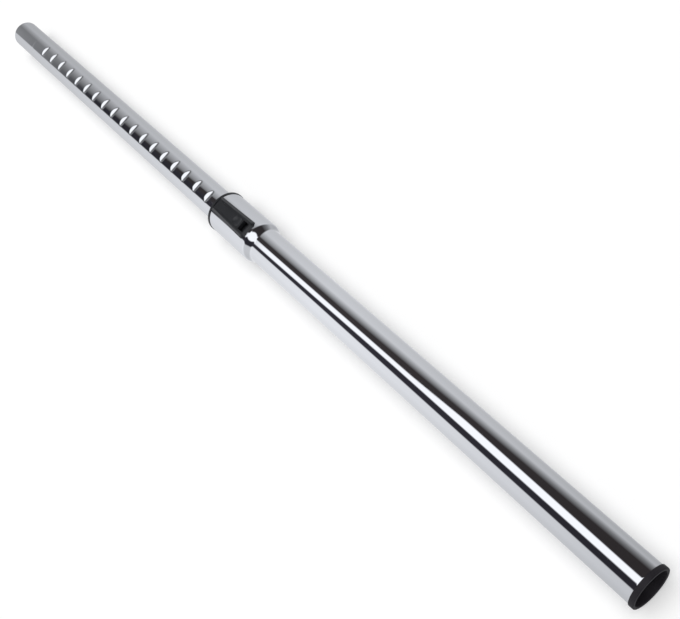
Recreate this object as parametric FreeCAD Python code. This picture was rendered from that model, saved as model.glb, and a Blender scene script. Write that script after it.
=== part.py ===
import FreeCAD, Part
import math
import os

# Telescopic vacuum wand. The wand lies along X: the hose pushes in at X = 0, the floor tool goes on at the
# far end, and the button looks up along Z. The origin is the centre of the hose socket's mouth.
# It is drawn pulled out to its last groove, with the lock released.
# All sizes are in millimetres.

Vector = FreeCAD.Vector
SHARP_CORNERS = 2  # the kind of corner that an offset outline keeps

# Outer tube and its bell
OUTER_DIAMETER = 36.0
OUTER_WALL = 0.75
OUTER_LENGTH = 529.0
BELL_DIAMETER = 42.5
BELL_LENGTH = 58.0
SHOULDER_LENGTH = 11.5

# Inner tube and its row of pressed grooves
INNER_DIAMETER = 32.0
INNER_WALL = 0.7
TIP_DIAMETER = 31.6
TIP_LENGTH = 50.0
TIP_STEP = 1.0
GROOVE_COUNT = 20
GROOVE_PITCH = 22.0
GROOVE_RADIUS = 4.0
GROOVE_DEPTH = 1.6
FIRST_GROOVE_FROM_TIP = 79.0
TAIL_LENGTH = 72.0

# Hose socket at the near end
COLLAR_DIAMETER = 37.6
COLLAR_THICKNESS = 4.5
COLLAR_EDGE = 0.9
SOCKET_DIAMETER = 32.2
SOCKET_DEPTH = 38.0
SOCKET_LEAD = 0.8
SPIGOT_GAP = 0.05

# Guide sleeve in the bell
RUN_GAP = 0.25
SLEEVE_WALL = 1.4
SLEEVE_SLACK = 0.1
SLEEVE_BEHIND_FRAME = 0.5
REAR_LAND_LENGTH = 3.5
FRONT_LAND_LENGTH = 5.0
RIB_THICKNESS = 2.0
RIB_ANGLES = (-155, -105, -58, 58, 105, 155)
FLANGE_THICKNESS = 2.5
FLANGE_LIP = 0.35

# Seals and rear bush
SEAL_GAP = 0.1
FRONT_SEAL_WIDTH = 2.4
FRONT_SEAL_DEPTH = 0.8
FRONT_SEAL_FROM_MOUTH = 1.0
BUSH_LENGTH = 18.0
BUSH_FIT = 0.05
BUSH_RUN_GAP = 0.15
REAR_SEAL_WIDTH = 4.0
REAR_SEAL_DEPTH = 0.55
REAR_SEAL_FROM_END = 7.0
REAR_SEAL_RUN_GAP = 0.05

# Button frame in the bell's window
WINDOW_GAP = 0.2
FRAME_LENGTH = 57.0
FRAME_FRONT_WIDTH = 16.5
FRAME_REAR_WIDTH = 20.0
FRAME_REAR_CORNER = 3.5
FRAME_WALL = 1.3
FRAME_OVER_TUBE = 6.7
FRAME_RISE = 2.7
FRAME_BEVEL = 2.4
FRAME_SEAT_GAP = 0.05
OPENING_FROM_FRONT = 5.5
OPENING_FROM_BACK = 4.0

# Slide button
BUTTON_TRAVEL = 6.0
PAD_WIDTH = 9.4
PAD_PROUD = 0.4
PAD_EDGE = 0.5
PAD_ROOF = 2.0
PAD_SIDE_WALL = 1.0
PAD_END_WALL = 1.5
PAD_SIDE_GAP = 0.2
PAD_END_GAP = 0.5
SKIRT_WIDTH = 12.0
SKIRT_THICKNESS = 1.0
SKIRT_GAP = 0.23
REST_RISE = 1.5
REST_LENGTH = 9.5
SCOOP_FLOOR_RADIUS = 2.8
SCOOP_RIM_RADIUS = 4.3
SCOOP_DEPTH = 0.7
CHEEK_THICKNESS = 1.0
CHEEK_BACK = 5.0
CHEEK_FRONT = 9.5
CHEEK_FOOT_GAP = 0.6
CHEEK_SLOT_GAP = 0.2

# Lock roller
LOCK_FROM_MOUTH = 24.0
ROLLER_DIAMETER = 3.2
ROLLER_LENGTH = 6.8
TRUNNION_DIAMETER = 1.8
TRUNNION_END_GAP = 0.1
ROLLER_GAP = 0.15
ROLLER_SEAT_GAP = 0.15
ROLLER_LIFT_GAP = 0.2
FENCE_THICKNESS = 1.6
FENCE_RISE = 1.8
FENCE_SIDE_GAP = 0.2

# Button springs
SPRING_DIAMETER = 2.2
SPRING_WIRE = 0.35
SPRING_TURNS = 5
SPRING_STEPS = 8
SPRING_GAP = 0.15
SPRING_SEAT_FROM_MOUTH = 5.0
SPRING_SEAT_THICKNESS = 1.4
SPRING_SEAT_ROOF_GAP = 0.15

# Radii that follow
outer_radius = OUTER_DIAMETER / 2
outer_bore = outer_radius - OUTER_WALL
bell_radius = BELL_DIAMETER / 2
bell_bore = bell_radius - OUTER_WALL
inner_radius = INNER_DIAMETER / 2
inner_bore = inner_radius - INNER_WALL
tip_radius = TIP_DIAMETER / 2
socket_radius = SOCKET_DIAMETER / 2
sleeve_bore = inner_radius + RUN_GAP
sleeve_radius = sleeve_bore + SLEEVE_WALL
land_radius = bell_bore - SLEEVE_SLACK
roller_radius = ROLLER_DIAMETER / 2
trunnion_radius = TRUNNION_DIAMETER / 2

# Stations along X that follow
tube_back = COLLAR_THICKNESS
bell_mouth = tube_back + OUTER_LENGTH
bell_back = bell_mouth - BELL_LENGTH
shoulder_back = bell_back - SHOULDER_LENGTH
lock_x = bell_mouth - LOCK_FROM_MOUTH
groove_stations = [lock_x + GROOVE_PITCH * i for i in range(GROOVE_COUNT)]
tip_end = groove_stations[-1] + FIRST_GROOVE_FROM_TIP
tail_end = lock_x - TAIL_LENGTH
frame_back = bell_mouth - FRAME_LENGTH
sleeve_back = frame_back - SLEEVE_BEHIND_FRAME
opening_front = bell_mouth - OPENING_FROM_FRONT
opening_back = frame_back + OPENING_FROM_BACK
pad_front = opening_front - PAD_END_GAP
pad_back = opening_back + PAD_END_GAP + BUTTON_TRAVEL
cheek_back = lock_x - CHEEK_BACK
cheek_front = lock_x + CHEEK_FRONT
spring_seat = bell_mouth - SPRING_SEAT_FROM_MOUTH

# The inner tube slides in by whole pitches, as long as its tail stays clear of the hose socket.
tube_travel = (tail_end - SOCKET_DEPTH) // GROOVE_PITCH * GROOVE_PITCH

# Heights of the lock that follow
released_height = inner_radius + ROLLER_LIFT_GAP + roller_radius
locked_height = inner_radius - GROOVE_DEPTH + ROLLER_SEAT_GAP + roller_radius
slot_half = trunnion_radius + ROLLER_GAP
skirt_half = SKIRT_WIDTH / 2
pad_half = PAD_WIDTH / 2
cheek_inner = skirt_half - CHEEK_THICKNESS
cheek_foot = math.sqrt(inner_radius ** 2 - cheek_inner ** 2) + CHEEK_FOOT_GAP
fence_top = released_height + FENCE_RISE
frame_top = inner_radius + FRAME_OVER_TUBE
frame_break = frame_top - FRAME_RISE
pad_top = frame_top + PAD_PROUD
pocket_roof = pad_top - PAD_ROOF

# The frame's inner faces run parallel to its bevels, one wall inside them.
# The button's skirt runs close under them, and its front corners are the nearest.
front_half = FRAME_FRONT_WIDTH / 2
rear_half = FRAME_REAR_WIDTH / 2
inner_front_half = front_half - FRAME_WALL
taper = (rear_half - front_half) / FRAME_LENGTH
bevel_slope = FRAME_RISE / FRAME_BEVEL
inner_break = frame_break + FRAME_WALL * (bevel_slope - math.hypot(1, bevel_slope))
inner_top = frame_top - FRAME_WALL
inner_bevel = (inner_top - inner_break) / bevel_slope
skirt_room = inner_front_half + taper * (bell_mouth - cheek_front)
under_bevel = inner_break + (skirt_room - skirt_half) * bevel_slope
skirt_top = under_bevel - SKIRT_GAP
skirt_foot = skirt_top - SKIRT_THICKNESS


def outline(start, *steps):
    """A closed outline in the X-Z plane: a step is a point for a line, or (through, point) for an arc."""
    edges = []
    here = Vector(start[0], 0, start[1])
    for step in steps + (start,):
        is_arc = isinstance(step[0], tuple)
        end = step[1] if is_arc else step
        there = Vector(end[0], 0, end[1])
        if is_arc:
            through = Vector(step[0][0], 0, step[0][1])
            edges.append(Part.Arc(here, through, there).toShape())
        elif here.distanceToPoint(there) > 0:
            edges.append(Part.LineSegment(here, there).toShape())
        here = there
    return Part.Face(Part.Wire(edges))


def turned(start, *steps):
    """A solid of revolution about the wand's axis, from its (x, radius) outline."""
    return outline(start, *steps).revolve(Vector(0, 0, 0), Vector(1, 0, 0), 360)


def ring(inner, outer, back, front):
    """A plain ring about the wand's axis."""
    return turned((back, inner), (front, inner), (front, outer), (back, outer))


def rod(radius, back, front):
    """A round bar on the wand's axis."""
    return Part.makeCylinder(radius, front - back, Vector(back, 0, 0), Vector(1, 0, 0))


def cross_bar(radius, half_length, x, z):
    """A round bar across the wand, along Y."""
    return Part.makeCylinder(radius, 2 * half_length, Vector(x, -half_length, z), Vector(0, 1, 0))


def block(back, front, right, left, low, high):
    """A box from its limits along X, Y and Z."""
    return Part.makeBox(front - back, left - right, high - low, Vector(back, right, low))


def middle_block(back, front, half_width, low, high):
    """A box centred on the wand's plane of symmetry."""
    return block(back, front, -half_width, half_width, low, high)


def both_sides(shape):
    """A shape on the left, and its mirror image on the right."""
    return [shape, shape.mirror(Vector(0, 0, 0), Vector(0, 1, 0))]


def frame_plan(margin, height):
    """The button frame's plan, wider at the rear with cut corners there, moved outwards by the margin."""
    cut = FRAME_REAR_CORNER
    left = [
        (bell_mouth, front_half),
        (frame_back + cut, rear_half - taper * cut),
        (frame_back, rear_half - cut),
    ]
    right = [(x, -y) for x, y in reversed(left)]
    corners = [Vector(x, y, 0) for x, y in left + right]
    plan = Part.makePolygon(corners + corners[:1])
    if margin:
        plan = plan.makeOffset2D(margin, SHARP_CORNERS)
    return plan.translated(Vector(0, 0, height))


def frame_prism(margin, low, high):
    """An upright prism on the button frame's plan."""
    return Part.Face(frame_plan(margin, low)).extrude(Vector(0, 0, high - low))


def bevelled_prism(inset, low, break_height, high, bevel):
    """A prism on the frame's plan, whose sides lean in by the bevel from the break height to the top."""
    lean = Part.makeLoft([frame_plan(-inset, break_height), frame_plan(-inset - bevel, high)], True, True)
    return frame_prism(-inset, low, break_height).fuse(lean).removeSplitter()


def shoulder(inset):
    """Points of the S-shaped shoulder between tube and bell, moved inwards by the inset."""
    rise = bell_radius - outer_radius
    half_turn = math.atan(rise / SHOULDER_LENGTH)
    arc_radius = SHOULDER_LENGTH / 2 / math.sin(2 * half_turn)

    def near(angle):
        reach = arc_radius + inset
        x = shoulder_back + reach * math.sin(angle)
        return (x, outer_radius + arc_radius - reach * math.cos(angle))

    def far(angle):
        reach = arc_radius - inset
        return (bell_back - reach * math.sin(angle), bell_radius - arc_radius + reach * math.cos(angle))

    return near(0), near(half_turn), near(2 * half_turn), far(half_turn), far(0)


def make_outer_tube():
    """One tube, expanded to a bell, with a window that is open at the bell's mouth."""
    start, first, middle, second, end = shoulder(0)
    in_start, in_first, in_middle, in_second, in_end = shoulder(OUTER_WALL)
    tube = turned(
        (tube_back, outer_bore), (tube_back, outer_radius), start, (first, middle), (second, end),
        (bell_mouth, bell_radius), (bell_mouth, bell_bore),
        in_end, (in_second, in_middle), (in_first, in_start),
    )
    return tube.cut(frame_prism(WINDOW_GAP, 0, bell_radius))


def make_inner_tube():
    """One tube with a necked tip and a row of grooves pressed in across its top."""
    neck = tip_end - TIP_LENGTH
    outside = turned(
        (tail_end, 0), (tip_end, 0), (tip_end, tip_radius), (neck, tip_radius),
        (neck - TIP_STEP, inner_radius), (tail_end, inner_radius),
    )
    inside = turned(
        (tail_end, 0), (tip_end, 0), (tip_end, tip_radius - INNER_WALL), (neck, tip_radius - INNER_WALL),
        (neck - TIP_STEP, inner_bore), (tail_end, inner_bore),
    )
    press_height = inner_radius - GROOVE_DEPTH + GROOVE_RADIUS
    presses = [cross_bar(GROOVE_RADIUS, inner_radius, x, press_height) for x in groove_stations]
    dents = [cross_bar(GROOVE_RADIUS + INNER_WALL, inner_radius, x, press_height) for x in groove_stations]
    return outside.cut(presses).cut(inside.cut(dents))


def make_end_collar():
    """The hose socket: a flange over the tube's end, and a spigot inside the tube."""
    collar_radius = COLLAR_DIAMETER / 2
    spigot_radius = outer_bore - SPIGOT_GAP
    return turned(
        (0, socket_radius + SOCKET_LEAD), (0, collar_radius - COLLAR_EDGE), (COLLAR_EDGE, collar_radius),
        (COLLAR_THICKNESS, collar_radius), (COLLAR_THICKNESS, spigot_radius), (SOCKET_DEPTH, spigot_radius),
        (SOCKET_DEPTH, socket_radius), (SOCKET_LEAD, socket_radius),
    )


def make_guide_sleeve():
    """The bush in the bell: barrel, lands, ribs and end flange, with the lock's bed on top."""
    barrel = rod(sleeve_radius, sleeve_back, bell_mouth)
    rear_land = rod(land_radius, sleeve_back, sleeve_back + REAR_LAND_LENGTH)
    front_land = rod(land_radius, bell_mouth - FRONT_LAND_LENGTH, bell_mouth)
    rib = block(sleeve_back, bell_mouth, -RIB_THICKNESS / 2, RIB_THICKNESS / 2, inner_radius, land_radius)
    ribs = [rib.rotated(Vector(0, 0, 0), Vector(1, 0, 0), angle) for angle in RIB_ANGLES]
    ribs = [r.common(rod(land_radius, sleeve_back, bell_mouth)) for r in ribs]
    sleeve = barrel.fuse([rear_land, front_land] + ribs)
    bed = middle_block(sleeve_back, bell_mouth, rear_half + WINDOW_GAP, 0, 2 * bell_radius)
    sleeve = sleeve.cut(bed.cut(rod(sleeve_radius, sleeve_back, bell_mouth)))

    flange = rod(bell_radius + FLANGE_LIP, bell_mouth, bell_mouth + FLANGE_THICKNESS)
    seat_half = inner_front_half - CHEEK_SLOT_GAP
    seat_top = inner_break - SPRING_SEAT_ROOF_GAP
    seat = middle_block(spring_seat, spring_seat + SPRING_SEAT_THICKNESS, seat_half, 0, seat_top)
    fence_reach = roller_radius + ROLLER_GAP
    fence_half = pad_half - PAD_SIDE_WALL - FENCE_SIDE_GAP
    fence_outside = fence_reach + FENCE_THICKNESS
    fences = [
        middle_block(lock_x - fence_outside, lock_x - fence_reach, fence_half, 0, fence_top),
        middle_block(lock_x + fence_reach, lock_x + fence_outside, fence_half, 0, fence_top),
    ]
    sleeve = sleeve.fuse([flange, seat] + fences)

    slot_back = cheek_back - BUTTON_TRAVEL - 2 * CHEEK_SLOT_GAP
    slot_front = cheek_front + 2 * CHEEK_SLOT_GAP
    slot_inner = cheek_inner - CHEEK_SLOT_GAP
    slot_outer = skirt_half + CHEEK_SLOT_GAP
    slots = both_sides(block(slot_back, slot_front, slot_inner, slot_outer, 0, bell_radius))
    roller_gate = middle_block(lock_x - fence_reach, lock_x + fence_reach, slot_outer, 0, bell_radius)
    bore = rod(sleeve_bore, sleeve_back, bell_mouth + FLANGE_THICKNESS)
    seal_front = bell_mouth - FRONT_SEAL_FROM_MOUTH
    seal_groove = rod(sleeve_bore + FRONT_SEAL_DEPTH, seal_front - FRONT_SEAL_WIDTH, seal_front)
    return sleeve.cut(slots + [roller_gate, bore, seal_groove]).removeSplitter()


def make_front_seal():
    """A wiper ring in the sleeve's groove, close round the inner tube."""
    front = bell_mouth - FRONT_SEAL_FROM_MOUTH - SEAL_GAP
    back = front - FRONT_SEAL_WIDTH + 2 * SEAL_GAP
    return ring(inner_radius + SEAL_GAP, sleeve_bore + FRONT_SEAL_DEPTH - SEAL_GAP, back, front)


def make_rear_bush():
    """A plastic ring on the hidden end of the inner tube, with a groove for its seal."""
    bush_bore = inner_radius + BUSH_FIT
    run_radius = outer_bore - BUSH_RUN_GAP
    groove_back = tail_end + REAR_SEAL_FROM_END
    groove_front = groove_back + REAR_SEAL_WIDTH
    groove_floor = run_radius - REAR_SEAL_DEPTH
    front = tail_end + BUSH_LENGTH
    return turned(
        (tail_end, bush_bore), (front, bush_bore), (front, run_radius), (groove_front, run_radius),
        (groove_front, groove_floor), (groove_back, groove_floor), (groove_back, run_radius),
        (tail_end, run_radius),
    )


def make_rear_seal():
    """A seal ring in the rear bush's groove, close to the outer tube's bore."""
    back = tail_end + REAR_SEAL_FROM_END + SEAL_GAP
    front = back + REAR_SEAL_WIDTH - 2 * SEAL_GAP
    groove_floor = outer_bore - BUSH_RUN_GAP - REAR_SEAL_DEPTH
    return ring(groove_floor + SEAL_GAP / 2, outer_bore - REAR_SEAL_RUN_GAP, back, front)


def make_button_frame():
    """The housing in the window: a bevelled shell on the sleeve, open on top where the button slides."""
    shell = bevelled_prism(0, sleeve_bore, frame_break, frame_top, FRAME_BEVEL)
    hollow = bevelled_prism(FRAME_WALL, 0, inner_break, inner_top, inner_bevel)
    opening = middle_block(opening_back, opening_front, pad_half + PAD_SIDE_GAP, 0, 2 * bell_radius)
    seat = rod(sleeve_radius + FRAME_SEAT_GAP, sleeve_back, bell_mouth)
    return shell.cut([hollow, opening, seat])


def make_slide_button():
    """The thumb slide: a hollow pad with a scooped thumb rest, a skirt, and two slotted cheeks."""
    pad = middle_block(pad_back, pad_front, pad_half, skirt_foot, pad_top)
    rest = middle_block(pad_back, pad_back + REST_LENGTH, pad_half, pad_top - PAD_ROOF, pad_top + REST_RISE)
    pad = pad.makeChamfer(PAD_EDGE, [e for e in pad.Edges if e.BoundBox.ZMin > pad_top - PAD_EDGE])
    rest = rest.makeChamfer(PAD_EDGE, [e for e in rest.Edges if e.BoundBox.ZMin > pad_top])
    scoop_flare = (SCOOP_RIM_RADIUS - SCOOP_FLOOR_RADIUS) / SCOOP_DEPTH
    scoop_reach = SCOOP_DEPTH + 2 * REST_RISE
    scoop_floor = Vector(pad_back + REST_LENGTH, 0, pad_top - SCOOP_DEPTH)
    scoop_top_radius = SCOOP_FLOOR_RADIUS + scoop_flare * scoop_reach
    scoop = Part.makeCone(SCOOP_FLOOR_RADIUS, scoop_top_radius, scoop_reach, scoop_floor)
    skirt = middle_block(pad_back, cheek_front, skirt_half, skirt_foot, skirt_top)
    cheeks = both_sides(block(cheek_back, cheek_front, cheek_inner, skirt_half, cheek_foot, skirt_top))
    button = pad.fuse([rest, skirt] + cheeks).cut(scoop)

    pocket = middle_block(
        pad_back + PAD_END_WALL, pad_front - PAD_END_WALL, pad_half - PAD_SIDE_WALL, 0, pocket_roof
    )
    slide = Vector(BUTTON_TRAVEL, 0, locked_height - released_height)
    upper = Vector(lock_x, 0, released_height)
    lower = upper + slide
    across = Vector(-slide.z, 0, slide.x).normalize() * slot_half
    corners = [upper + across, upper - across, lower - across, lower + across]
    run = Part.Face(Part.makePolygon(corners + corners[:1])).extrude(Vector(0, 2 * skirt_half, 0))
    run.translate(Vector(0, -skirt_half, 0))
    slot_ends = [cross_bar(slot_half, skirt_half, end.x, end.z) for end in (upper, lower)]
    return button.cut([pocket, run] + slot_ends).removeSplitter()


def make_lock_roller():
    """A steel cross pin with thinner ends, drawn lifted clear of the inner tube."""
    body = cross_bar(roller_radius, ROLLER_LENGTH / 2, lock_x, released_height)
    ends = cross_bar(trunnion_radius, skirt_half - TRUNNION_END_GAP, lock_x, released_height)
    return body.fuse(ends).removeSplitter()


def make_spring(side):
    """A coil spring between a cheek's front edge and the sleeve's spring seat."""
    coil_radius = (SPRING_DIAMETER - SPRING_WIRE) / 2
    length = spring_seat - cheek_front - SPRING_WIRE
    steps = SPRING_STEPS * SPRING_TURNS
    across = (cheek_inner + skirt_half) / 2
    reach = sleeve_radius + SPRING_DIAMETER / 2 + SPRING_GAP
    middle = Vector(cheek_front + SPRING_WIRE / 2, side * across, math.sqrt(reach ** 2 - across ** 2))

    def section(step):
        turn = 2 * math.pi * step / SPRING_STEPS
        outward = Vector(0, math.cos(turn), math.sin(turn))
        centre = middle + outward * coil_radius + Vector(length * step / steps, 0, 0)
        along = Vector(SPRING_WIRE / 2, 0, 0)
        out = outward * SPRING_WIRE / 2
        corners = [centre + along, centre + out, centre - along, centre - out]
        return Part.makePolygon(corners + corners[:1])

    return Part.makeLoft([section(i) for i in range(steps + 1)], True, True)


pieces = {
    "outer_tube": make_outer_tube(),
    "inner_tube": make_inner_tube(),
    "end_collar": make_end_collar(),
    "guide_sleeve": make_guide_sleeve(),
    "front_seal": make_front_seal(),
    "rear_bush": make_rear_bush(),
    "rear_seal": make_rear_seal(),
    "button_frame": make_button_frame(),
    "slide_button": make_slide_button(),
    "lock_roller": make_lock_roller(),
    "left_spring": make_spring(1),
    "right_spring": make_spring(-1),
}

os.makedirs("parts", exist_ok=True)
for name, shape in pieces.items():
    shape.exportStep(f"parts/{name}.step")
    box = shape.BoundBox
    print(
        f"{name}: {len(shape.Solids)} solid, valid {shape.isValid()}, {shape.Volume:.0f} mm3, "
        f"x {box.XMin:.1f} to {box.XMax:.1f}, z {box.ZMin:.2f} to {box.ZMax:.2f}"
    )
print(f"tube travel {tube_travel:.1f}, roller drop {released_height - locked_height:.3f}")
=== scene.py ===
# %% [markdown]
# A telescopic vacuum wand, dressed for its portrait. The wand is two chromed steel tubes, one inside the
# other. The outer tube is opened out to a bell at one end, and in the bell's window sits a black plastic
# lock with a thumb slide. A black socket for the hose is set into the other end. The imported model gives
# the places and sizes. Here nearly every piece that shows is modelled again with soft edges and smooth
# curves, because chrome shows every flat facet.

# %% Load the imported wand
import math

import bmesh
import bpy
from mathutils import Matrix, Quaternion, Vector


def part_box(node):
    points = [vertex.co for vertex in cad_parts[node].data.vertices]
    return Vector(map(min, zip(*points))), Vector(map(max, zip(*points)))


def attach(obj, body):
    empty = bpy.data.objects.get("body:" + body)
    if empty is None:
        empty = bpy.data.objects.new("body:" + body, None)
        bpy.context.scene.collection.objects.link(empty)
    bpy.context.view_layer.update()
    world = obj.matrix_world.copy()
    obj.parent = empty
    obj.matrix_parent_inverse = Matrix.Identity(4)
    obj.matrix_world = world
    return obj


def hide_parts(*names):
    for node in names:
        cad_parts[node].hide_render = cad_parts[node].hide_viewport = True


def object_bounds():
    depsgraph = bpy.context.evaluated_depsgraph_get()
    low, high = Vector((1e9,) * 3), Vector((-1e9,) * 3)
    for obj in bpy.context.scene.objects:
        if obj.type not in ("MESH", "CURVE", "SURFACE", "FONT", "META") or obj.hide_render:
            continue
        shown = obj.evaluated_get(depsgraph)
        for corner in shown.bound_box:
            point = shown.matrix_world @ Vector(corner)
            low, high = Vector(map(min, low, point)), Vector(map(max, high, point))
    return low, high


MM = 0.001
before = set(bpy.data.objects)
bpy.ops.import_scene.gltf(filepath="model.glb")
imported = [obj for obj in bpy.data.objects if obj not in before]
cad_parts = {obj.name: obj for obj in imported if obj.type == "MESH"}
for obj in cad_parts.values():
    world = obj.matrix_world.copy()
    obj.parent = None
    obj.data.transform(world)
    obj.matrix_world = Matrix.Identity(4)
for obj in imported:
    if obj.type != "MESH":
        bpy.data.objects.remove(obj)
cad_low, cad_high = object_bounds()


def in_mm(lengths):
    """Lengths in metres as rounded millimetres, for printing."""
    return [round(length / MM, 1) for length in lengths]


print("packed box, mm:", in_mm((*cad_low, *cad_high)))

# %% [markdown]
# Operators act on whatever is selected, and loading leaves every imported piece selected. So each new piece
# starts with nothing selected, and a few small helpers do what a hand does over and over: take one
# object, go into edit mode, and pick edges or faces by where they lie.

# %% Selecting by hand
FACING = 0.9
NEAR = 0.1 * MM


def take(piece=None):
    """Object mode, with only this piece selected, or nothing."""
    if bpy.context.object and bpy.context.object.mode != "OBJECT":
        bpy.ops.object.mode_set(mode="OBJECT")
    bpy.ops.object.select_all(action="DESELECT")
    if piece:
        piece.select_set(True)
        bpy.context.view_layer.objects.active = piece


def edit(piece):
    """Edit mode on one piece, with all its points selected."""
    take(piece)
    bpy.ops.object.mode_set(mode="EDIT")
    bpy.ops.mesh.select_mode(type="VERT")
    bpy.ops.mesh.select_all(action="SELECT")


def pick(piece, kind, test):
    """In edit mode, selects the piece's verts, edges or faces that pass a test."""
    bpy.ops.mesh.select_mode(type={"verts": "VERT", "edges": "EDGE", "faces": "FACE"}[kind])
    bpy.ops.mesh.select_all(action="DESELECT")
    mesh = bmesh.from_edit_mesh(piece.data)
    for item in getattr(mesh, kind):
        if test(item):
            item.select_set(True)
    bmesh.update_edit_mesh(piece.data)


def middle(item):
    """The centre of an edge or a face."""
    return sum((v.co for v in item.verts), Vector()) / len(item.verts)


# %% [markdown]
# A finished piece has its place in its mesh and no modifier left on it. Cuts are Boolean modifiers,
# because they keep clean edges where a hand would have to stitch faces. Soft edges are a Bevel modifier,
# which finds every sharp edge by its angle. Each is applied as soon as it is set. At the end a piece gets
# its finish and its body.

# %% Shaping and finishing
SOFT_ANGLE = 40
SOFT_SEGMENTS = 3


def placed(name):
    """Names the primitive that was just added, and moves its place, turn and size into its mesh."""
    piece = bpy.context.object
    piece.name = name
    bpy.ops.object.transform_apply(location=True, rotation=True, scale=True)
    return piece


def apply_modifier(piece, kind, **settings):
    """Adds a modifier with its settings and applies it."""
    modifier = piece.modifiers.new(kind.lower(), kind)
    for name, value in settings.items():
        setattr(modifier, name, value)
    take(piece)
    bpy.ops.object.modifier_apply(modifier=modifier.name)


def carve(piece, tool, operation="DIFFERENCE"):
    """Cuts a tool's shape out of a piece, or adds it, and throws the tool away."""
    apply_modifier(piece, "BOOLEAN", object=tool, operation=operation, solver="EXACT")
    bpy.data.objects.remove(tool)


def soften(piece, width):
    """Rounds every sharp edge."""
    apply_modifier(
        piece, "BEVEL", width=width, segments=SOFT_SEGMENTS, limit_method="ANGLE",
        angle_limit=math.radians(SOFT_ANGLE), use_clamp_overlap=True,
    )


def settle(piece, body, slot, material, *nodes, smooth=35, flat_faces=False):
    """Gives a finished piece its finish and shading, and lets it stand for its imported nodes."""
    piece.data.materials.clear()
    piece.data.materials.append(material)
    take(piece)
    bpy.ops.object.shade_smooth_by_angle(angle=math.radians(smooth))
    if flat_faces:
        apply_modifier(piece, "WEIGHTED_NORMAL", keep_sharp=True)
    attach(piece, body)
    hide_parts(*nodes)
    print(piece.name, "on", body, "with", len(piece.data.polygons), "faces, mm:", in_mm(piece.dimensions))


# %% [markdown]
# Finishes. Colours are written as sRGB hex values, as a colour picker gives them, and one function turns
# them into the linear numbers that the shader needs. Another small function adds a node with its settings
# and fills its inputs, so that each finish reads as a short recipe.


# %% Colour and node helpers
def linear(hex_colour):
    """An sRGB hex colour as linear red, green, blue and alpha."""
    parts = [int(hex_colour[i:i + 2], 16) / 255 for i in (1, 3, 5)]
    return (*[c / 12.92 if c <= 0.04045 else ((c + 0.055) / 1.055) ** 2.4 for c in parts], 1.0)


def fill(tree, node, inputs):
    """Fills a node's inputs, each with a value or with another node's output."""
    for name, item in inputs.items():
        if isinstance(item, bpy.types.NodeSocket):
            tree.links.new(item, node.inputs[name])
        else:
            node.inputs[name].default_value = item


def add(tree, kind, inputs=None, **settings):
    """Adds a node with its settings, and fills its inputs."""
    node = tree.nodes.new(kind)
    for name, value in settings.items():
        setattr(node, name, value)
    fill(tree, node, inputs or {})
    return node


def new_finish(name):
    """A new material with its nodes, its shader and the place of each point on the piece."""
    material = bpy.data.materials.new(name)
    material.use_nodes = True
    tree = material.node_tree
    place = add(tree, "ShaderNodeTexCoord").outputs["Object"]
    return material, tree, tree.nodes["Principled BSDF"], place


def per(size_mm):
    """The texture scale at which a pattern repeats about every so many millimetres."""
    return 1 / (size_mm * MM)


# %% [markdown]
# Chrome plate is bright, a little cool, and almost a mirror. Two things keep it from looking computed:
# the drawn tube under it is never quite straight, so long reflections waver by a hair, and years of
# wiping leave faint lengthwise streaks that are a touch duller. A picture of streaks could be wrapped
# round the tube, but noise that is stretched along it has no seam, so both are noise.

# %% Chrome plate
STREAK_WIDTH_MM = 1.2
STREAK_STRETCH = (0.04, 1, 1)
STREAK_RANGE = (0.35, 0.75)
STREAK_ROUGHNESS = (0.03, 0.075)
WAVER_LENGTH_MM = 22
WAVER_STRETCH = (0.3, 1, 1)
WAVER_STRENGTH = 0.25
WAVER_DEPTH = 0.06 * MM


def chrome_plate():
    material, tree, shader, place = new_finish("bright_chrome_plate")
    drawn = add(tree, "ShaderNodeMapping", {"Vector": place, "Scale": STREAK_STRETCH})
    streaks = add(tree, "ShaderNodeTexNoise", {
        "Vector": drawn.outputs["Vector"], "Scale": per(STREAK_WIDTH_MM), "Detail": 3.0})
    dullness = add(tree, "ShaderNodeMapRange", {
        "Value": streaks.outputs["Fac"], "From Min": STREAK_RANGE[0], "From Max": STREAK_RANGE[1],
        "To Min": STREAK_ROUGHNESS[0], "To Max": STREAK_ROUGHNESS[1]})
    stretched = add(tree, "ShaderNodeMapping", {"Vector": place, "Scale": WAVER_STRETCH})
    waver = add(tree, "ShaderNodeTexNoise", {
        "Vector": stretched.outputs["Vector"], "Scale": per(WAVER_LENGTH_MM), "Detail": 1.0})
    bump = add(tree, "ShaderNodeBump", {
        "Height": waver.outputs["Fac"], "Strength": WAVER_STRENGTH, "Distance": WAVER_DEPTH})
    fill(tree, shader, {
        "Base Color": linear("#d3d4d7"), "Metallic": 1.0,
        "Roughness": dullness.outputs["Result"], "Normal": bump.outputs["Normal"]})
    return material


chrome = chrome_plate()
print("finish:", chrome.name)

# %% [markdown]
# The socket, the lock and the sleeve are moulded ABS, black, with the fine spark-eroded grain of the
# mould. Grain is about a fifth of a millimetre, too fine to show from a step away, so it is drawn at a
# third of a millimetre: it then breaks up the highlight along each rounded edge. As a bump from noise it
# costs no faces. Slow patches of dullness come from handling.

# %% Black moulded ABS
ABS_IOR = 1.53
TINT_PATCH_MM = 9
HANDLED_PATCH_MM = 14
HANDLED_SPREAD = 0.06
GRAIN_MM = 0.33
GRAIN_STRENGTH = 0.5


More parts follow.
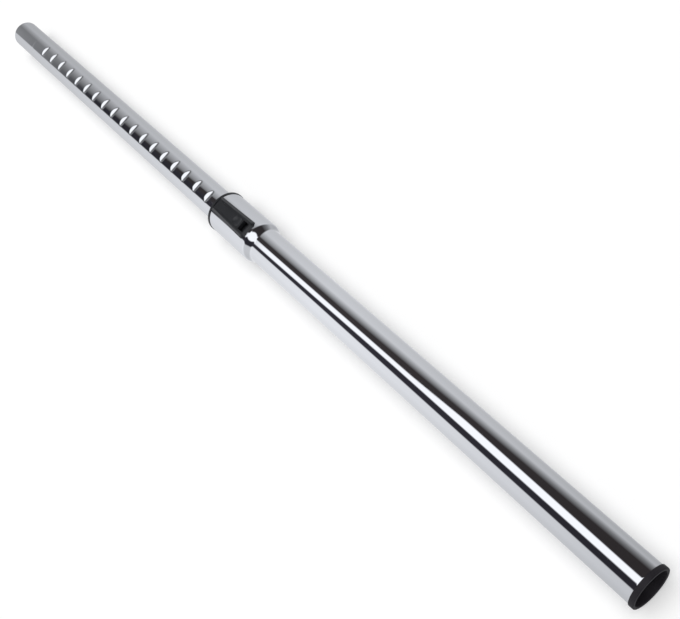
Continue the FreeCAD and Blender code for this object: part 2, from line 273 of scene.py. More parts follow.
def moulded_abs(name, colour, dull, shine, grain_depth):
    material, tree, shader, place = new_finish(name)
    tint = add(tree, "ShaderNodeTexNoise", {"Vector": place, "Scale": per(TINT_PATCH_MM), "Detail": 2.0})
    ramp = add(tree, "ShaderNodeValToRGB", {"Fac": tint.outputs["Fac"]})
    ramp.color_ramp.elements[0].color = linear(colour[0])
    ramp.color_ramp.elements[1].color = linear(colour[1])
    handled = add(tree, "ShaderNodeTexNoise", {
        "Vector": place, "Scale": per(HANDLED_PATCH_MM), "Detail": 3.0})
    rough = add(tree, "ShaderNodeMapRange", {
        "Value": handled.outputs["Fac"], "To Min": dull - HANDLED_SPREAD, "To Max": dull + HANDLED_SPREAD})
    grain = add(tree, "ShaderNodeTexNoise", {"Vector": place, "Scale": per(GRAIN_MM), "Detail": 2.0})
    bump = add(tree, "ShaderNodeBump", {
        "Height": grain.outputs["Fac"], "Strength": GRAIN_STRENGTH, "Distance": grain_depth})
    fill(tree, shader, {
        "Base Color": ramp.outputs["Color"], "IOR": ABS_IOR, "Specular IOR Level": shine,
        "Roughness": rough.outputs["Result"], "Normal": bump.outputs["Normal"]})
    return material


lock_plastic = moulded_abs(
    "satin_black_abs", ("#202123", "#28292c"), dull=0.32, shine=0.28, grain_depth=0.02 * MM)
socket_plastic = moulded_abs(
    "matt_black_abs", ("#19171b", "#222024"), dull=0.6, shine=0.2, grain_depth=0.03 * MM)
print("finishes:", lock_plastic.name, socket_plastic.name)

# %% [markdown]
# The pieces that stay inside could be modelled again too, but hardly anything of them shows. So they keep
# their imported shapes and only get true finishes: ground steel for the lock roller and the springs, and a
# matt rubber for the two seals. Ground steel has fine scratches, and rubber has a dry bloom that makes it
# patchy.

# %% Steel and rubber for the inside
SCRATCH_MM = 0.2
SCRATCH_STRETCH = (1, 0.1, 1)
STEEL_ROUGHNESS = (0.18, 0.38)
BLOOM_MM = 3
RUBBER_ROUGHNESS = 0.85


def ground_steel():
    material, tree, shader, place = new_finish("ground_spring_steel")
    ground = add(tree, "ShaderNodeMapping", {"Vector": place, "Scale": SCRATCH_STRETCH})
    scratches = add(tree, "ShaderNodeTexNoise", {
        "Vector": ground.outputs["Vector"], "Scale": per(SCRATCH_MM), "Detail": 2.0})
    rough = add(tree, "ShaderNodeMapRange", {
        "Value": scratches.outputs["Fac"], "To Min": STEEL_ROUGHNESS[0], "To Max": STEEL_ROUGHNESS[1]})
    fill(tree, shader, {
        "Base Color": linear("#c4c4c6"), "Metallic": 1.0, "Roughness": rough.outputs["Result"]})
    return material


def seal_rubber():
    material, tree, shader, place = new_finish("matt_seal_rubber")
    bloom = add(tree, "ShaderNodeTexNoise", {"Vector": place, "Scale": per(BLOOM_MM), "Detail": 4.0})
    ramp = add(tree, "ShaderNodeValToRGB", {"Fac": bloom.outputs["Fac"]})
    ramp.color_ramp.elements[0].color = linear("#18181a")
    ramp.color_ramp.elements[1].color = linear("#2a2a2c")
    fill(tree, shader, {"Base Color": ramp.outputs["Color"], "Roughness": RUBBER_ROUGHNESS})
    return material


# %% Finishes on the inner pieces
steel = ground_steel()
rubber = seal_rubber()
inside = {
    "lock_roller": steel, "left_spring": steel, "right_spring": steel,
    "front_seal": rubber, "rear_seal": rubber, "rear_bush": socket_plastic,
}
for node, finish in inside.items():
    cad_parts[node].data.materials.clear()
    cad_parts[node].data.materials.append(finish)
    print(node, "in", finish.name)

# %% [markdown]
# Turned pieces. A tube, a collar and a bell could each be put together from cylinders. Here they are made
# the way a lathe or a tube mill makes them, which gives one clean skin: one half section, swept once
# round the axis. By hand that is a single point, extruded from place to place to draw the section, and
# then spun. Round stretches of the section are short steps along an arc.

# %% Drawing and spinning a half section
SEAM_TOUCH = 0.002 * MM


def arc(centre, radius, start, end, steps):
    """Points along an arc in the section, with angles in degrees from the wand's axis."""
    turns = [math.radians(start + (end - start) * i / steps) for i in range(steps + 1)]
    return [(centre[0] + radius * math.cos(t), centre[1] + radius * math.sin(t)) for t in turns]


def draw_section(name, points):
    """One point, extruded along the section in the X-Z plane. The points are (x, radius)."""
    take()
    bpy.ops.mesh.primitive_plane_add(size=MM)
    piece = bpy.context.object
    piece.name = name
    piece.data.name = name
    edit(piece)
    bpy.ops.mesh.merge(type="CENTER")
    bpy.ops.transform.translate(value=(points[0][0], 0, points[0][1]))
    for (x0, r0), (x1, r1) in zip(points, points[1:]):
        bpy.ops.mesh.extrude_vertices_move(TRANSFORM_OT_translate={"value": (x1 - x0, 0, r1 - r0)})
    return piece


def spin_section(piece, spans):
    """Spins a drawn section about the wand's axis through (angle, steps) spans, and closes the seam."""
    edit(piece)
    for angle, steps in spans:
        bpy.ops.mesh.spin(steps=steps, angle=math.radians(angle), center=(0, 0, 0), axis=(1, 0, 0))
    bpy.ops.mesh.select_all(action="SELECT")
    bpy.ops.mesh.remove_doubles(threshold=SEAM_TOUCH)
    bpy.ops.mesh.normals_make_consistent(inside=False)
    take(piece)


# %% [markdown]
# The button frame's plan. The lock's housing is a little wider at the rear, with its rear corners cut
# off, and the bell's window has the same plan with a thin gap round it. An outline could be drawn and
# extruded, but a cube is already most of it: its front is narrowed, and its two upright rear edges are
# bevelled flat. The window, the housing and its hollow all start from this one block.

# %% The frame's plan as a block
frame_low, frame_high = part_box("button_frame")
FRAME_FRONT_WIDTH = 16.5 * MM
FRAME_REAR_WIDTH = 20.0 * MM
FRAME_REAR_CORNER = 3.5 * MM
print("button frame, mm:", in_mm((*frame_low, *frame_high)))


def frame_block(name, margin, low, high):
    """An upright block on the frame's plan, moved out by the margin."""
    back = frame_low.x - margin
    front = frame_high.x + margin

    def upright_at_the_back(edge):
        one, other = edge.verts
        return middle(edge).x < back + NEAR and abs(one.co.z - other.co.z) > NEAR

    take()
    bpy.ops.mesh.primitive_cube_add(
        size=1, location=((back + front) / 2, 0, (low + high) / 2),
        scale=(front - back, FRAME_REAR_WIDTH + 2 * margin, high - low),
    )
    block = placed(name)
    edit(block)
    pick(block, "faces", lambda face: face.normal.x > FACING)
    narrowing = (FRAME_FRONT_WIDTH + 2 * margin) / (FRAME_REAR_WIDTH + 2 * margin)
    bpy.ops.transform.resize(value=(1, narrowing, 1), center_override=(front, 0, 0))
    pick(block, "edges", upright_at_the_back)
    bpy.ops.mesh.bevel(offset=FRAME_REAR_CORNER, segments=1, affect="EDGES")
    take(block)
    return block


# %% [markdown]
# The outer tube. A steel strip is rolled and welded to a 36 mm tube, and one end is pushed over a mandrel
# to a 42.5 mm bell, which leaves an S-shaped shoulder. Two arcs would make an S too, but a sudden change
# of bend, as from a line to an arc, shows as a kink in the white stripe. So the S is a curve that starts
# and ends with no bend at all. The mouth of the bell is a half round, as a deburred edge is. A smooth
# mirror bends wherever its corners' normals lean, so a holding ring stands just beside every curve, and
# the long straight stretches stay straight in the reflection.

# %% Sizes of the outer tube
outer_low, outer_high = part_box("outer_tube")
TUBE_RADIUS = 18.0 * MM
TUBE_WALL = 0.75 * MM
BELL_LENGTH = 58.0 * MM
SHOULDER_LENGTH = 11.5 * MM
WINDOW_GAP = 0.2 * MM
HOLD = 0.8 * MM
TURN_STEPS = 144
SHOULDER_STEPS = 40
LIP_STEPS = 6
bell_radius = outer_high.y
bell_back = outer_high.x - BELL_LENGTH
shoulder_back = bell_back - SHOULDER_LENGTH
above_the_bell = 1.5 * bell_radius
print("bell, mm:", in_mm((bell_back, outer_high.x)), "shoulder from", in_mm([shoulder_back]))


# %% Outer tube
def tube_surface(inset):
    """The section of the tube's outside, or of its bore when it is moved in by the wall."""
    tube = TUBE_RADIUS - inset
    bell = bell_radius - inset
    flare = bell_radius - TUBE_RADIUS
    shares = [i / SHOULDER_STEPS for i in range(SHOULDER_STEPS + 1)]
    rises = [share ** 3 * (share * (6 * share - 15) + 10) for share in shares]
    shoulder = [(shoulder_back + SHOULDER_LENGTH * share, tube + flare * rise)
                for share, rise in zip(shares, rises)]
    tube_ends = (outer_low.x + TUBE_WALL / 2 + HOLD, shoulder_back - HOLD)
    bell_ends = (bell_back + HOLD, outer_high.x - TUBE_WALL / 2 - HOLD)
    return [(x, tube) for x in tube_ends] + shoulder + [(x, bell) for x in bell_ends]


def half_round(x, radius, start):
    """A half-round edge on the tube's wall, centred on the wall's middle."""
    return arc((x, radius - TUBE_WALL / 2), TUBE_WALL / 2, start, start - 180, LIP_STEPS)


def make_outer_tube():
    mouth_lip = half_round(outer_high.x - TUBE_WALL / 2, bell_radius, 90)
    end_lip = half_round(outer_low.x + TUBE_WALL / 2, TUBE_RADIUS, 270)
    section = end_lip + tube_surface(0) + mouth_lip + tube_surface(TUBE_WALL)[::-1] + end_lip[:1]
    tube = draw_section("chromed_outer_tube", section)
    spin_section(tube, [(360, TURN_STEPS)])
    carve(tube, frame_block("window_tool", WINDOW_GAP, 0, above_the_bell))
    return tube


outer_tube = make_outer_tube()
settle(outer_tube, "outer", "chrome", chrome, "outer_tube")

# %% [markdown]
# The inner tube. A round bar is pressed into the top of a 32 mm tube every 22 mm, and each press leaves a
# lens-shaped groove with soft shoulders. No operator presses one shape into another and keeps the sheet
# whole, so the tube is spun with close rings where the bar lands, and each point under the bar is moved
# down to the bar's surface by a formula, with a smooth blend at the shoulder. A wall is then grown
# inwards, which makes the bulges inside the bore as well. Rings are close only at the grooves, and steps
# round the tube are close only along the top, to keep the mesh light.

# %% Sizes of the inner tube
inner_low, inner_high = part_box("inner_tube")
INNER_WALL = 0.7 * MM
TIP_RADIUS = 15.8 * MM
TIP_LENGTH = 50.0 * MM
TIP_STEP = 1.0 * MM
GROOVE_COUNT = 20
GROOVE_PITCH = 22.0 * MM
GROOVE_RADIUS = 4.0 * MM
GROOVE_REACH = 1.1 * GROOVE_RADIUS
GROOVE_DEPTH = 1.6 * MM
GROOVE_BLEND = 0.35 * MM
FIRST_GROOVE_FROM_TIP = 79.0 * MM
RINGS_PER_GROOVE = 16
TOP_SPAN = 40
TOP_STEPS = 26
LOWER_STEPS = 62
inner_radius = inner_high.y
first_groove = inner_high.x - FIRST_GROOVE_FROM_TIP
grooves = [first_groove - GROOVE_PITCH * i for i in range(GROOVE_COUNT)]
bar_height = inner_radius - GROOVE_DEPTH + GROOVE_RADIUS
print("grooves, mm:", in_mm((grooves[-1], grooves[0])))


# %% Inner tube with pressed grooves
def pressed(x, z):
    """The height of a point of the tube's top after the bar has been pressed in at every groove."""
    offset = min((x - groove for groove in grooves), key=abs)
    if abs(offset) >= GROOVE_RADIUS:
        return z
    bar = bar_height - math.sqrt(GROOVE_RADIUS ** 2 - offset ** 2)
    share = min(max(0.5 + 0.5 * (bar - z) / GROOVE_BLEND, 0), 1)
    return bar * (1 - share) + z * share - GROOVE_BLEND * share * (1 - share)


def inner_section():
    """The outside of the inner tube, with close rings at every groove and a step down to the tip."""
    rings = [groove - GROOVE_REACH + 2 * GROOVE_REACH * i / RINGS_PER_GROOVE
             for groove in grooves[::-1] for i in range(RINGS_PER_GROOVE + 1)]
    neck = inner_high.x - TIP_LENGTH
    tube_rings = [inner_low.x, *rings, neck - TIP_STEP - HOLD, neck - TIP_STEP]
    tip_rings = [neck, neck + HOLD, inner_high.x]
    return [(x, inner_radius) for x in tube_rings] + [(x, TIP_RADIUS) for x in tip_rings]


def make_inner_tube():
    tube = draw_section("chromed_inner_tube", inner_section())
    spin_section(tube, [(TOP_SPAN, TOP_STEPS), (360 - 2 * TOP_SPAN, LOWER_STEPS), (TOP_SPAN, TOP_STEPS)])
    outward = sum(f.normal.dot(Vector((0, f.center.y, f.center.z))) for f in tube.data.polygons)
    if outward < 0:
        edit(tube)
        bpy.ops.mesh.flip_normals()
        take(tube)
    for vertex in tube.data.vertices:
        if vertex.co.z > 0:
            vertex.co.z = pressed(vertex.co.x, vertex.co.z)
    apply_modifier(tube, "SOLIDIFY", thickness=INNER_WALL, offset=-1)
    return tube


inner_tube = make_inner_tube()
settle(inner_tube, "inner", "chrome", chrome, "inner_tube", smooth=50)

# %% [markdown]
# The end collar. The hose pushes into a moulded socket: a flange over the tube's end, with a spigot
# inside the tube that can't be seen once it is in. It could be two rings put together, but it is one
# moulding, so it is one section. The flange's outer edge is well rounded and its mouth has a lead-in, and
# both are arcs.

# %% End collar
collar_low, collar_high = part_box("end_collar")
FLANGE_THICKNESS = 4.5 * MM
FLANGE_EDGE = 0.9 * MM
FLANGE_BACK_EDGE = 0.3 * MM
SOCKET_RADIUS = 16.1 * MM
SPIGOT_RADIUS = 17.2 * MM
SOCKET_LEAD = 0.8 * MM
EDGE_STEPS = 6


def make_end_collar():
    rim = collar_high.y
    back_edge = (FLANGE_THICKNESS - FLANGE_BACK_EDGE, rim - FLANGE_BACK_EDGE)
    lead = arc((SOCKET_LEAD, SOCKET_RADIUS + SOCKET_LEAD), SOCKET_LEAD, 270, 180, EDGE_STEPS)
    front = arc((FLANGE_EDGE, rim - FLANGE_EDGE), FLANGE_EDGE, 180, 90, EDGE_STEPS)
    back = arc(back_edge, FLANGE_BACK_EDGE, 90, 0, EDGE_STEPS)
    spigot = [
        (FLANGE_THICKNESS, SPIGOT_RADIUS), (collar_high.x, SPIGOT_RADIUS), (collar_high.x, SOCKET_RADIUS)]
    section = lead + front + back + spigot
    collar = draw_section("moulded_end_collar", section + section[:1])
    spin_section(collar, [(360, TURN_STEPS)])
    return collar


end_collar = make_end_collar()
settle(end_collar, "outer", "black_plastic", socket_plastic, "end_collar")

# %% [markdown]
# The guide sleeve. Only its thin flange shows, as a black line round the bell's mouth, but the sleeve has
# lands, ribs and a bed for the lock inside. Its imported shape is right, so it isn't modelled again: a copy
# is taken, its loose triangles are merged and its flat faces made whole.

# %% Guide sleeve
LOOSE_TOUCH = 0.001 * MM
FLAT_WITHIN = 0.5


def copy_of_node(node, name):
    """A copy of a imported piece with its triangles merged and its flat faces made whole."""
    take()
    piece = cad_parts[node].copy()
    piece.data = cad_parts[node].data.copy()
    piece.name = name
    piece.data.name = name
    piece.parent = None
    for key in list(piece.keys()):
        del piece[key]
    bpy.context.scene.collection.objects.link(piece)
    edit(piece)
    bpy.ops.mesh.remove_doubles(threshold=LOOSE_TOUCH)
    bpy.ops.mesh.customdata_custom_splitnormals_clear()
    bpy.ops.mesh.dissolve_limited(angle_limit=math.radians(FLAT_WITHIN))
    take(piece)
    return piece


guide_sleeve = copy_of_node("guide_sleeve", "moulded_guide_sleeve")
settle(guide_sleeve, "outer", "black_plastic", lock_plastic, "guide_sleeve")

# %% [markdown]
# The button frame. The housing that fills the window is a shell with sloping sides. The slopes could be
# cut one by one, but a block on the frame's plan gets them all from one inset of its top face, which is
# raised as it shrinks. The hollow is made the same way, one wall smaller. The opening for the thumb slide
# and the saddle that sits on the sleeve are cut last, and all edges are softened as in a mould.

# %% Sizes and tools of the button frame
FRAME_WALL = 1.3 * MM
FRAME_RISE = 2.7 * MM
FRAME_BEVEL = 2.4 * MM
HOLLOW_BREAK = 19.5 * MM
HOLLOW_BEVEL = 1.68 * MM
OPENING_FROM_FRONT = 5.5 * MM
OPENING_FROM_BACK = 4.0 * MM
OPENING_WIDTH = 9.8 * MM
SADDLE_RADIUS = 17.7 * MM
FRAME_EDGE = 0.3 * MM
ALONG_THE_WAND = (0, math.pi / 2, 0)


def box_tool(name, low, high):
    """A plain block between two corners, for adding or cutting."""
    low, high = Vector(low), Vector(high)
    take()
    bpy.ops.mesh.primitive_cube_add(size=1, location=(low + high) / 2, scale=high - low)
    return placed(name)


def sloping_block(name, margin, low, break_height, rise, bevel):
    """A block on the frame's plan whose top is drawn in by the bevel as it rises."""
    block = frame_block(name, margin, low, break_height)
    edit(block)
    pick(block, "faces", lambda face: face.normal.z > FACING)
    bpy.ops.mesh.inset(thickness=bevel, depth=rise)
    take(block)
    return block


def saddle_tool():
    """A bar along the wand, as thick as the seat on the sleeve and longer than the frame."""
    take()
    bpy.ops.mesh.primitive_cylinder_add(
        vertices=TURN_STEPS, radius=SADDLE_RADIUS, depth=2 * (frame_high.x - frame_low.x),
        location=(frame_low.x, 0, 0), rotation=ALONG_THE_WAND,
    )
    return placed("saddle_tool")


# %% Button frame
def make_button_frame():
    top = frame_high.z
    foot = frame_low.z - FRAME_WALL
    half = OPENING_WIDTH / 2
    hollow_rise = top - FRAME_WALL - HOLLOW_BREAK
    opening_low = (frame_low.x + OPENING_FROM_BACK, -half, foot)
    opening_high = (frame_high.x - OPENING_FROM_FRONT, half, top + FRAME_WALL)
    shell = sloping_block("moulded_button_frame", 0, frame_low.z, top - FRAME_RISE, FRAME_RISE, FRAME_BEVEL)
    carve(shell, sloping_block("hollow_tool", -FRAME_WALL, foot, HOLLOW_BREAK, hollow_rise, HOLLOW_BEVEL))
    carve(shell, box_tool("opening_tool", opening_low, opening_high))
    carve(shell, saddle_tool())
    soften(shell, FRAME_EDGE)
    return shell


button_frame = make_button_frame()
settle(button_frame, "outer", "black_plastic", lock_plastic, "button_frame", flat_faces=True)

# %% [markdown]
# The slide button. The thumb pushes on a hollow pad with a raised rest at its rear end and a round dish
# in front of it. Under the frame the pad spreads to a skirt, and two cheeks reach down beside the roller,
# whose ends run in sloping slots. One cube could be extruded into all this, but the parts run in three
# directions, so they are added together as blocks. The dish is a shallow bite of a large ball, and the
# edges are softened.

# %% Sizes and tools of the slide button
button_low, button_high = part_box("slide_button")
roller_low, roller_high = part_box("lock_roller")
PAD_WIDTH = 9.4 * MM
PAD_PROUD = 0.4 * MM
PAD_ROOF = 2.0 * MM
PAD_WALL = 1.2 * MM
REST_LENGTH = 9.5 * MM
DISH_RADIUS = 15.0 * MM
DISH_DEPTH = 0.7 * MM
DISH_SEGMENTS = 96
DISH_RINGS = 64
SKIRT_TOP = 20.84 * MM
SKIRT_THICKNESS = 1.0 * MM
CHEEK_THICKNESS = 1.0 * MM
CHEEK_BACK = 5.0 * MM
CHEEK_FRONT = 9.5 * MM
SLOT_WIDTH = 2.1 * MM
SLOT_TOOL_LENGTH = 4 * PAD_WIDTH
SLOT_STEPS = 48
BUTTON_TRAVEL = 6.0 * MM
ROLLER_DROP = 1.65 * MM
BUTTON_EDGE = 0.4 * MM
ACROSS_THE_WAND = (math.pi / 2, 0, 0)


def slot_tool(start, end):
    """A round-ended bar across the wand, as long as the run between two points."""
    run = end - start
    take()
    bpy.ops.mesh.primitive_cylinder_add(
        vertices=SLOT_STEPS, radius=SLOT_WIDTH / 2, depth=SLOT_TOOL_LENGTH, location=start,
        rotation=ACROSS_THE_WAND,
    )
    tool = placed("slot_tool")
    edit(tool)
    pick(tool, "verts", lambda vertex: (vertex.co - start).dot(run) > 0)
    bpy.ops.transform.translate(value=run)
    take(tool)
    return tool


def dish_tool(lowest):
    """A large ball that stands on its lowest point."""
    take()
    bpy.ops.mesh.primitive_uv_sphere_add(
        segments=DISH_SEGMENTS, ring_count=DISH_RINGS, radius=DISH_RADIUS,
        location=(lowest[0], lowest[1], lowest[2] + DISH_RADIUS),
    )
    return placed("dish_tool")


# %% Slide button
def make_slide_button():
    half = PAD_WIDTH / 2
    skirt_half = button_high.y
    pad_top = frame_high.z + PAD_PROUD
    roof = pad_top - PAD_ROOF
    skirt_foot = SKIRT_TOP - SKIRT_THICKNESS
    rest_front = button_low.x + REST_LENGTH
    lock_x = (roller_low.x + roller_high.x) / 2
    released = Vector((lock_x, 0, (roller_low.z + roller_high.z) / 2))
    locked = released + Vector((BUTTON_TRAVEL, 0, -ROLLER_DROP))
    cheek_back = lock_x - CHEEK_BACK
    cheek_front = lock_x + CHEEK_FRONT
    blocks = [
        ("rest", (button_low.x, -half, roof), (rest_front, half, button_high.z)),
        ("skirt", (button_low.x, -skirt_half, skirt_foot), (cheek_front, skirt_half, SKIRT_TOP)),
    ]
    for side in (-1, 1):
        right, left = sorted((side * (skirt_half - CHEEK_THICKNESS), side * skirt_half))
        blocks.append(("cheek", (cheek_back, right, button_low.z), (cheek_front, left, SKIRT_TOP)))
    pad = box_tool(
        "moulded_slide_button", (button_low.x, -half, skirt_foot), (button_high.x, half, pad_top))
    for block in blocks:
        carve(pad, box_tool(*block), "UNION")
    pocket_low = (button_low.x + PAD_WALL, PAD_WALL - half, 0)
    pocket_high = (button_high.x - PAD_WALL, half - PAD_WALL, roof)
    carve(pad, box_tool("pocket", pocket_low, pocket_high))
    carve(pad, slot_tool(released, locked))
    carve(pad, dish_tool((rest_front, 0, pad_top - DISH_DEPTH)))
    soften(pad, BUTTON_EDGE)
    return pad


slide_button = make_slide_button()
settle(slide_button, "button", "black_plastic", lock_plastic, "slide_button", flat_faces=True)

# %% [markdown]
# The stage. The wand lies on a white paper sweep. Under a lamp alone, paper comes out grey, and as a lamp
# of its own it loses every shadow. So to the camera it is partly plain white and mostly its real shading:
# it stays white and keeps a faint soft shadow beside the wand. The chrome doesn't show this sheet. It
# looks past it into the room of the next step, which has pale paper of its own.

# %% Floor
FLOOR_SIZE = 16.0
PAPER = linear("#f9f9f9")
WHITE = linear("#ffffff")
PLAIN_WHITE_SHARE = 0.2


def make_floor():
    take()
    bpy.ops.mesh.primitive_plane_add(size=FLOOR_SIZE, location=(0, 0, cad_low.z))
    floor = bpy.context.object
    floor.name = "paper_sweep"
    floor.visible_glossy = False
    material = bpy.data.materials.new("white_paper")
    material.use_nodes = True
    tree = material.node_tree
    tree.nodes.clear()
    paper = add(tree, "ShaderNodeBsdfDiffuse", {"Color": PAPER})
    plain = add(tree, "ShaderNodeEmission", {"Color": WHITE, "Strength": 1.0})
    seen = add(tree, "ShaderNodeLightPath").outputs["Is Camera Ray"]
    share = add(tree, "ShaderNodeMath", {0: seen, 1: PLAIN_WHITE_SHARE}, operation="MULTIPLY")
    mix = add(tree, "ShaderNodeMixShader", {
        0: share.outputs["Value"], 1: paper.outputs["BSDF"], 2: plain.outputs["Emission"]})
    add(tree, "ShaderNodeOutputMaterial", {"Surface": mix.outputs["Shader"]})
    floor.data.materials.append(material)
    print(floor.name, FLOOR_SIZE, "m wide, at mm", in_mm([cad_low.z]))


make_floor()

# %% [markdown]
# The light. Chrome shows the room more than itself, so a plain photo studio is built here. Seen along the
# wand, it has pale paper below, a pale wall low on the left, a dark ceiling, and a grey wall on the right
# that the ceiling meets over a darker knee. Far off, a grey back wall ends the ceiling. A long softbox
# hangs in the ceiling and draws the white stripe. Each part has one tone, written as the colour that
# chrome shows of it in the middle of the room. The light falls off towards both ends, and only the
# softbox is equally bright all along. Lamps and boards would do as well, but a world is smooth, has no
# noise and is easy to change.

# %% Parts of the room
TONES = {
    "under": "#c4c4c4",
    "left paper": "#d8d8d8",
    "left wall": "#e4e4e4",
    "left ceiling": "#303030",
    "right ceiling": "#343434",
    "right knee": "#8c8c8c",
    "right wall": "#cbcbcb",
    "right paper": "#c0c0c0",
    "back wall": "#9e9e9e",
    "softbox": "#fafafa",
}
CHROME_SHOWS = 0.66
ROOM_TINT = (0.985, 1.0, 1.03)
CEILING_TINTS = {"left ceiling": (0.98, 0.94, 1.2), "right ceiling": (1.08, 0.95, 0.98)}


def room_light(part):
    """The light of a part of the room, from the colour that chrome shows of it."""
    grey = linear(TONES[part])[0] / CHROME_SHOWS
    return (*[grey * share for share in CEILING_TINTS.get(part, ROOM_TINT)], 1.0)


print("room:", len(TONES), "parts")

# %% [markdown]
# Where the parts lie. A direction has an angle along the wand, from 0, square to it, to 1, straight on:
# the hose end looks at the near end of the room, and the tip looks far along it. It also has a height, in
# degrees round the wand's axis from the left horizon over the top. Edges drift in height along the wand,
# as edges in perspective do, so each has a few (angle, height) stops. The light along the room has stops
# of the same kind.

# %% Places in the room
FULL_TURN = 360
BELOW = -90
LEFT_HORIZON = 0
LEFT_PAPER_AT = -40
RIGHT_PAPER_AT = 225
CEILING_MIDDLE = (65, 85)
CEILING_ENDS = (0.81, 0.86)
SOFTBOX_ENDS = (0.66, 0.70)
EDGE = 3
HEIGHTS = {
    "left wall to": ((0.24, 32), (0.62, 36), (0.80, 33)),
    "softbox from": ((-0.60, 54), (0.24, 66), (0.52, 67), (0.66, 57)),
    "softbox to": ((-0.60, 114), (0.24, 98), (0.44, 103), (0.50, 90), (0.65, 84)),
    "right ceiling to": ((0.24, 148), (0.44, 129), (0.58, 111), (0.70, 106), (0.81, 60)),
    "right knee at": ((0.24, 172), (0.44, 146), (0.66, 120), (0.81, 92), (0.86, 110)),
    "right wall at": ((0.24, 192), (0.60, 153), (0.86, 158)),
}
LIGHT_ALONG = ((0.24, 0.7), (0.60, 1.0), (0.86, 0.68))


def share_of_turn(degrees):
    """A height as a share of the turn that starts straight below the wand."""
    return (degrees - BELOW) / FULL_TURN


def directions(tree):
    """How far a direction runs along the wand, and its height as a share of the turn."""
    direction = add(tree, "ShaderNodeTexCoord").outputs["Generated"]
    parts = add(tree, "ShaderNodeSeparateXYZ", {"Vector": direction}).outputs
    turned = add(tree, "ShaderNodeMath", {0: parts["Z"], 1: parts["Y"]}, operation="ARCTAN2")
    height = turned.outputs["Value"]
    for operation, number in (("ADD", math.tau + math.pi / 2), ("MODULO", math.tau), ("DIVIDE", math.tau)):
        height = add(tree, "ShaderNodeMath", {0: height, 1: number}, operation=operation).outputs["Value"]
    return parts["X"], height


def drifts(tree, straight_on):
    """The height of every edge, and the level of the light, as they change along the wand."""
    along = add(tree, "ShaderNodeMapRange", {"Value": straight_on, "From Min": -1.0, "From Max": 1.0})
    stops_of = {name: [(angle, share_of_turn(degrees)) for angle, degrees in stops]
                for name, stops in HEIGHTS.items()}
    stops_of["light"] = LIGHT_ALONG
    found = {}
    for name, stops in stops_of.items():
        ramp = add(tree, "ShaderNodeValToRGB", {"Fac": along.outputs["Result"]})
        elements = ramp.color_ramp.elements
        for i, (angle, value) in enumerate(stops):
            place = (angle + 1) / 2
            stop = elements[i] if i < len(elements) else elements.new(place)
            stop.position = place
            stop.color = (value, value, value, 1)
        found[name] = ramp.outputs["Color"]
    return found


# %% [markdown]
# The parts become one colour for each direction. Its height decides which part it meets: one mix after
# the other, from straight below up the left side, over the top and down the right side. The wall's top
# and the softbox have crisp edges, and the other parts run softly into each other. A colour mix keeps its
# two colours and its result on numbered sockets.

# %% Colours of the room
COLOUR_A = 6
COLOUR_B = 7
COLOUR_RESULT = 2
CRISP = ("left wall to", "softbox from", "softbox to")


def room_steps(at, edges):
    """Each part on the way round, with the heights where it starts and where it is all that shows."""
    return (
        ("left paper", share_of_turn(BELOW), share_of_turn(LEFT_PAPER_AT)),
        ("left wall", share_of_turn(LEFT_PAPER_AT), share_of_turn(LEFT_HORIZON)),
        ("left ceiling", *edges["left wall to"]),
        ("right ceiling", *[share_of_turn(degrees) for degrees in CEILING_MIDDLE]),
        ("right knee", at["right ceiling to"], at["right knee at"]),
        ("right wall", at["right knee at"], at["right wall at"]),
        ("right paper", at["right wall at"], share_of_turn(RIGHT_PAPER_AT)),
        ("under", share_of_turn(RIGHT_PAPER_AT), share_of_turn(BELOW + FULL_TURN)),
    )


def room_colour(tree):
    straight_on, height = directions(tree)
    at = drifts(tree, straight_on)
    edges = {name: [] for name in CRISP}
    for name in CRISP:
        for side in (-1, 1):
            edge = add(tree, "ShaderNodeMath", {0: at[name], 1: side * EDGE / FULL_TURN}, operation="ADD")
            edges[name].append(edge.outputs["Value"])
    far = add(tree, "ShaderNodeMapRange", {
        "Value": straight_on, "From Min": CEILING_ENDS[0], "From Max": CEILING_ENDS[1]}).outputs["Result"]
    seen = room_light("under")
    for part, start, end in room_steps(at, edges):
        colour = room_light(part)
        if part in CEILING_TINTS:
            colour = add(tree, "ShaderNodeMix", {
                "Factor": far, COLOUR_A: colour, COLOUR_B: room_light("back wall")},
                data_type="RGBA").outputs[COLOUR_RESULT]
        share = add(tree, "ShaderNodeMapRange", {"Value": height, "From Min": start, "From Max": end})
        seen = add(tree, "ShaderNodeMix", {
            "Factor": share.outputs["Result"], COLOUR_A: seen, COLOUR_B: colour},
            data_type="RGBA").outputs[COLOUR_RESULT]
    lit = add(tree, "ShaderNodeMix", {"Factor": 1.0, COLOUR_A: seen, COLOUR_B: at["light"]},
              data_type="RGBA", blend_type="MULTIPLY").outputs[COLOUR_RESULT]
    in_softbox = 1.0
    for value, (start, end) in (
        (height, edges["softbox from"]),
        (height, edges["softbox to"][::-1]),
        (straight_on, SOFTBOX_ENDS[::-1]),
    ):
        share = add(tree, "ShaderNodeMapRange", {"Value": value, "From Min": start, "From Max": end})
        in_softbox = add(tree, "ShaderNodeMath", {0: in_softbox, 1: share.outputs["Result"]},
                         operation="MULTIPLY").outputs["Value"]
    return add(tree, "ShaderNodeMix", {
        "Factor": in_softbox, COLOUR_A: lit, COLOUR_B: room_light("softbox")},
        data_type="RGBA").outputs[COLOUR_RESULT]


# %% [markdown]
# The world. One world can look different to different rays. Reflections see the room, so that the chrome
# has something to show. The camera sees plain white, and dull surfaces get a lower level of the same
# white, because the lamp of the next step adds the rest.

# %% World
DULL_LEVEL = 0.35


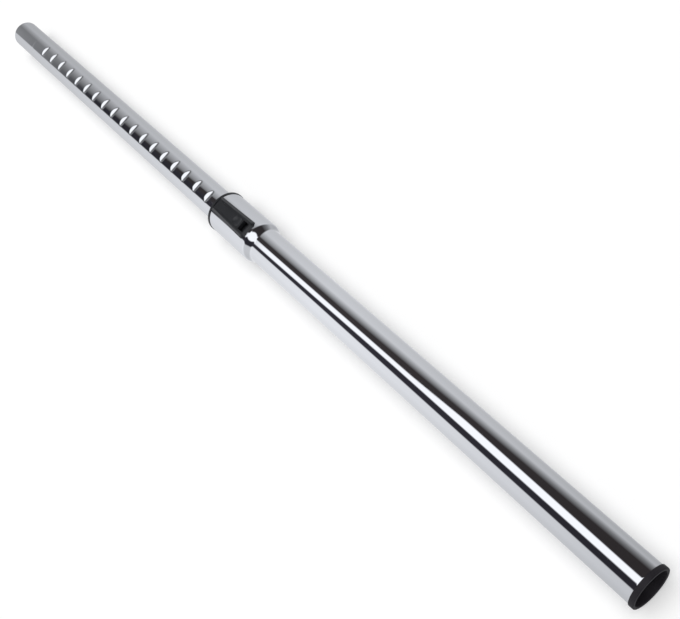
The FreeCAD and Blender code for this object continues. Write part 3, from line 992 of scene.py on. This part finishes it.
def make_world():
    world = bpy.data.worlds.new("studio_room")
    bpy.context.scene.world = world
    world.use_nodes = True
    tree = world.node_tree
    tree.nodes.clear()
    rays = add(tree, "ShaderNodeLightPath").outputs
    level = add(tree, "ShaderNodeMapRange", {
        "Value": rays["Is Camera Ray"], "To Min": DULL_LEVEL, "To Max": 1.0})
    white = add(tree, "ShaderNodeBackground", {"Color": WHITE, "Strength": level.outputs["Result"]})
    room = add(tree, "ShaderNodeBackground", {"Color": room_colour(tree)})
    mix = add(tree, "ShaderNodeMixShader", {
        0: rays["Is Glossy Ray"], 1: white.outputs["Background"], 2: room.outputs["Background"]})
    add(tree, "ShaderNodeOutputWorld", {"Surface": mix.outputs["Shader"]})
    print(world.name, "with", len(tree.nodes), "nodes")


make_world()

# %% [markdown]
# The lamp. The white world alone leaves the wand floating, so a broad lamp overhead adds a soft shadow
# close to it. An area lamp would fall off along so long a wand, so this is a sun with a wide disc. The
# chrome doesn't show it.

# %% Overhead lamp
OVERHEAD_HEIGHT = 1.0
OVERHEAD_SPREAD = 60
OVERHEAD_LEVEL = 2.3


def overhead_lamp():
    take()
    bpy.ops.object.light_add(type="SUN", location=(0, 0, OVERHEAD_HEIGHT))
    lamp = bpy.context.object
    lamp.name = "overhead_lamp"
    lamp.data.angle = math.radians(OVERHEAD_SPREAD)
    lamp.data.energy = OVERHEAD_LEVEL
    lamp.visible_glossy = False
    lamp.visible_camera = False
    print(lamp.name, OVERHEAD_SPREAD, "degrees wide")


overhead_lamp()

# %% [markdown]
# The camera looks down along the wand from behind the hose end, and is rolled so that the wand runs
# across the picture from corner to corner. Its place, aim, roll and lens were fitted to the wand's edges
# and grooves.

# %% Camera
CAMERA_PLACE = Vector((-0.1605, -0.0010, 0.7131))
CAMERA_AIM = Vector((0.3517, -0.0020, 0.0))
CAMERA_ROLL = math.radians(-48.34)
CAMERA_LENS_MM = 52.25
SENSOR_WIDTH_MM = 36


def make_camera():
    take()
    bpy.ops.object.camera_add(location=CAMERA_PLACE)
    camera = bpy.context.object
    camera.rotation_mode = "QUATERNION"
    level = (CAMERA_AIM - CAMERA_PLACE).to_track_quat("-Z", "Y")
    camera.rotation_quaternion = level @ Quaternion((0, 0, 1), CAMERA_ROLL)
    camera.data.lens = CAMERA_LENS_MM
    camera.data.sensor_width = SENSOR_WIDTH_MM
    bpy.context.scene.camera = camera
    print("camera", round((CAMERA_AIM - CAMERA_PLACE).length, 3), "m from its aim")


make_camera()
bpy.context.scene.view_settings.view_transform = "Standard"
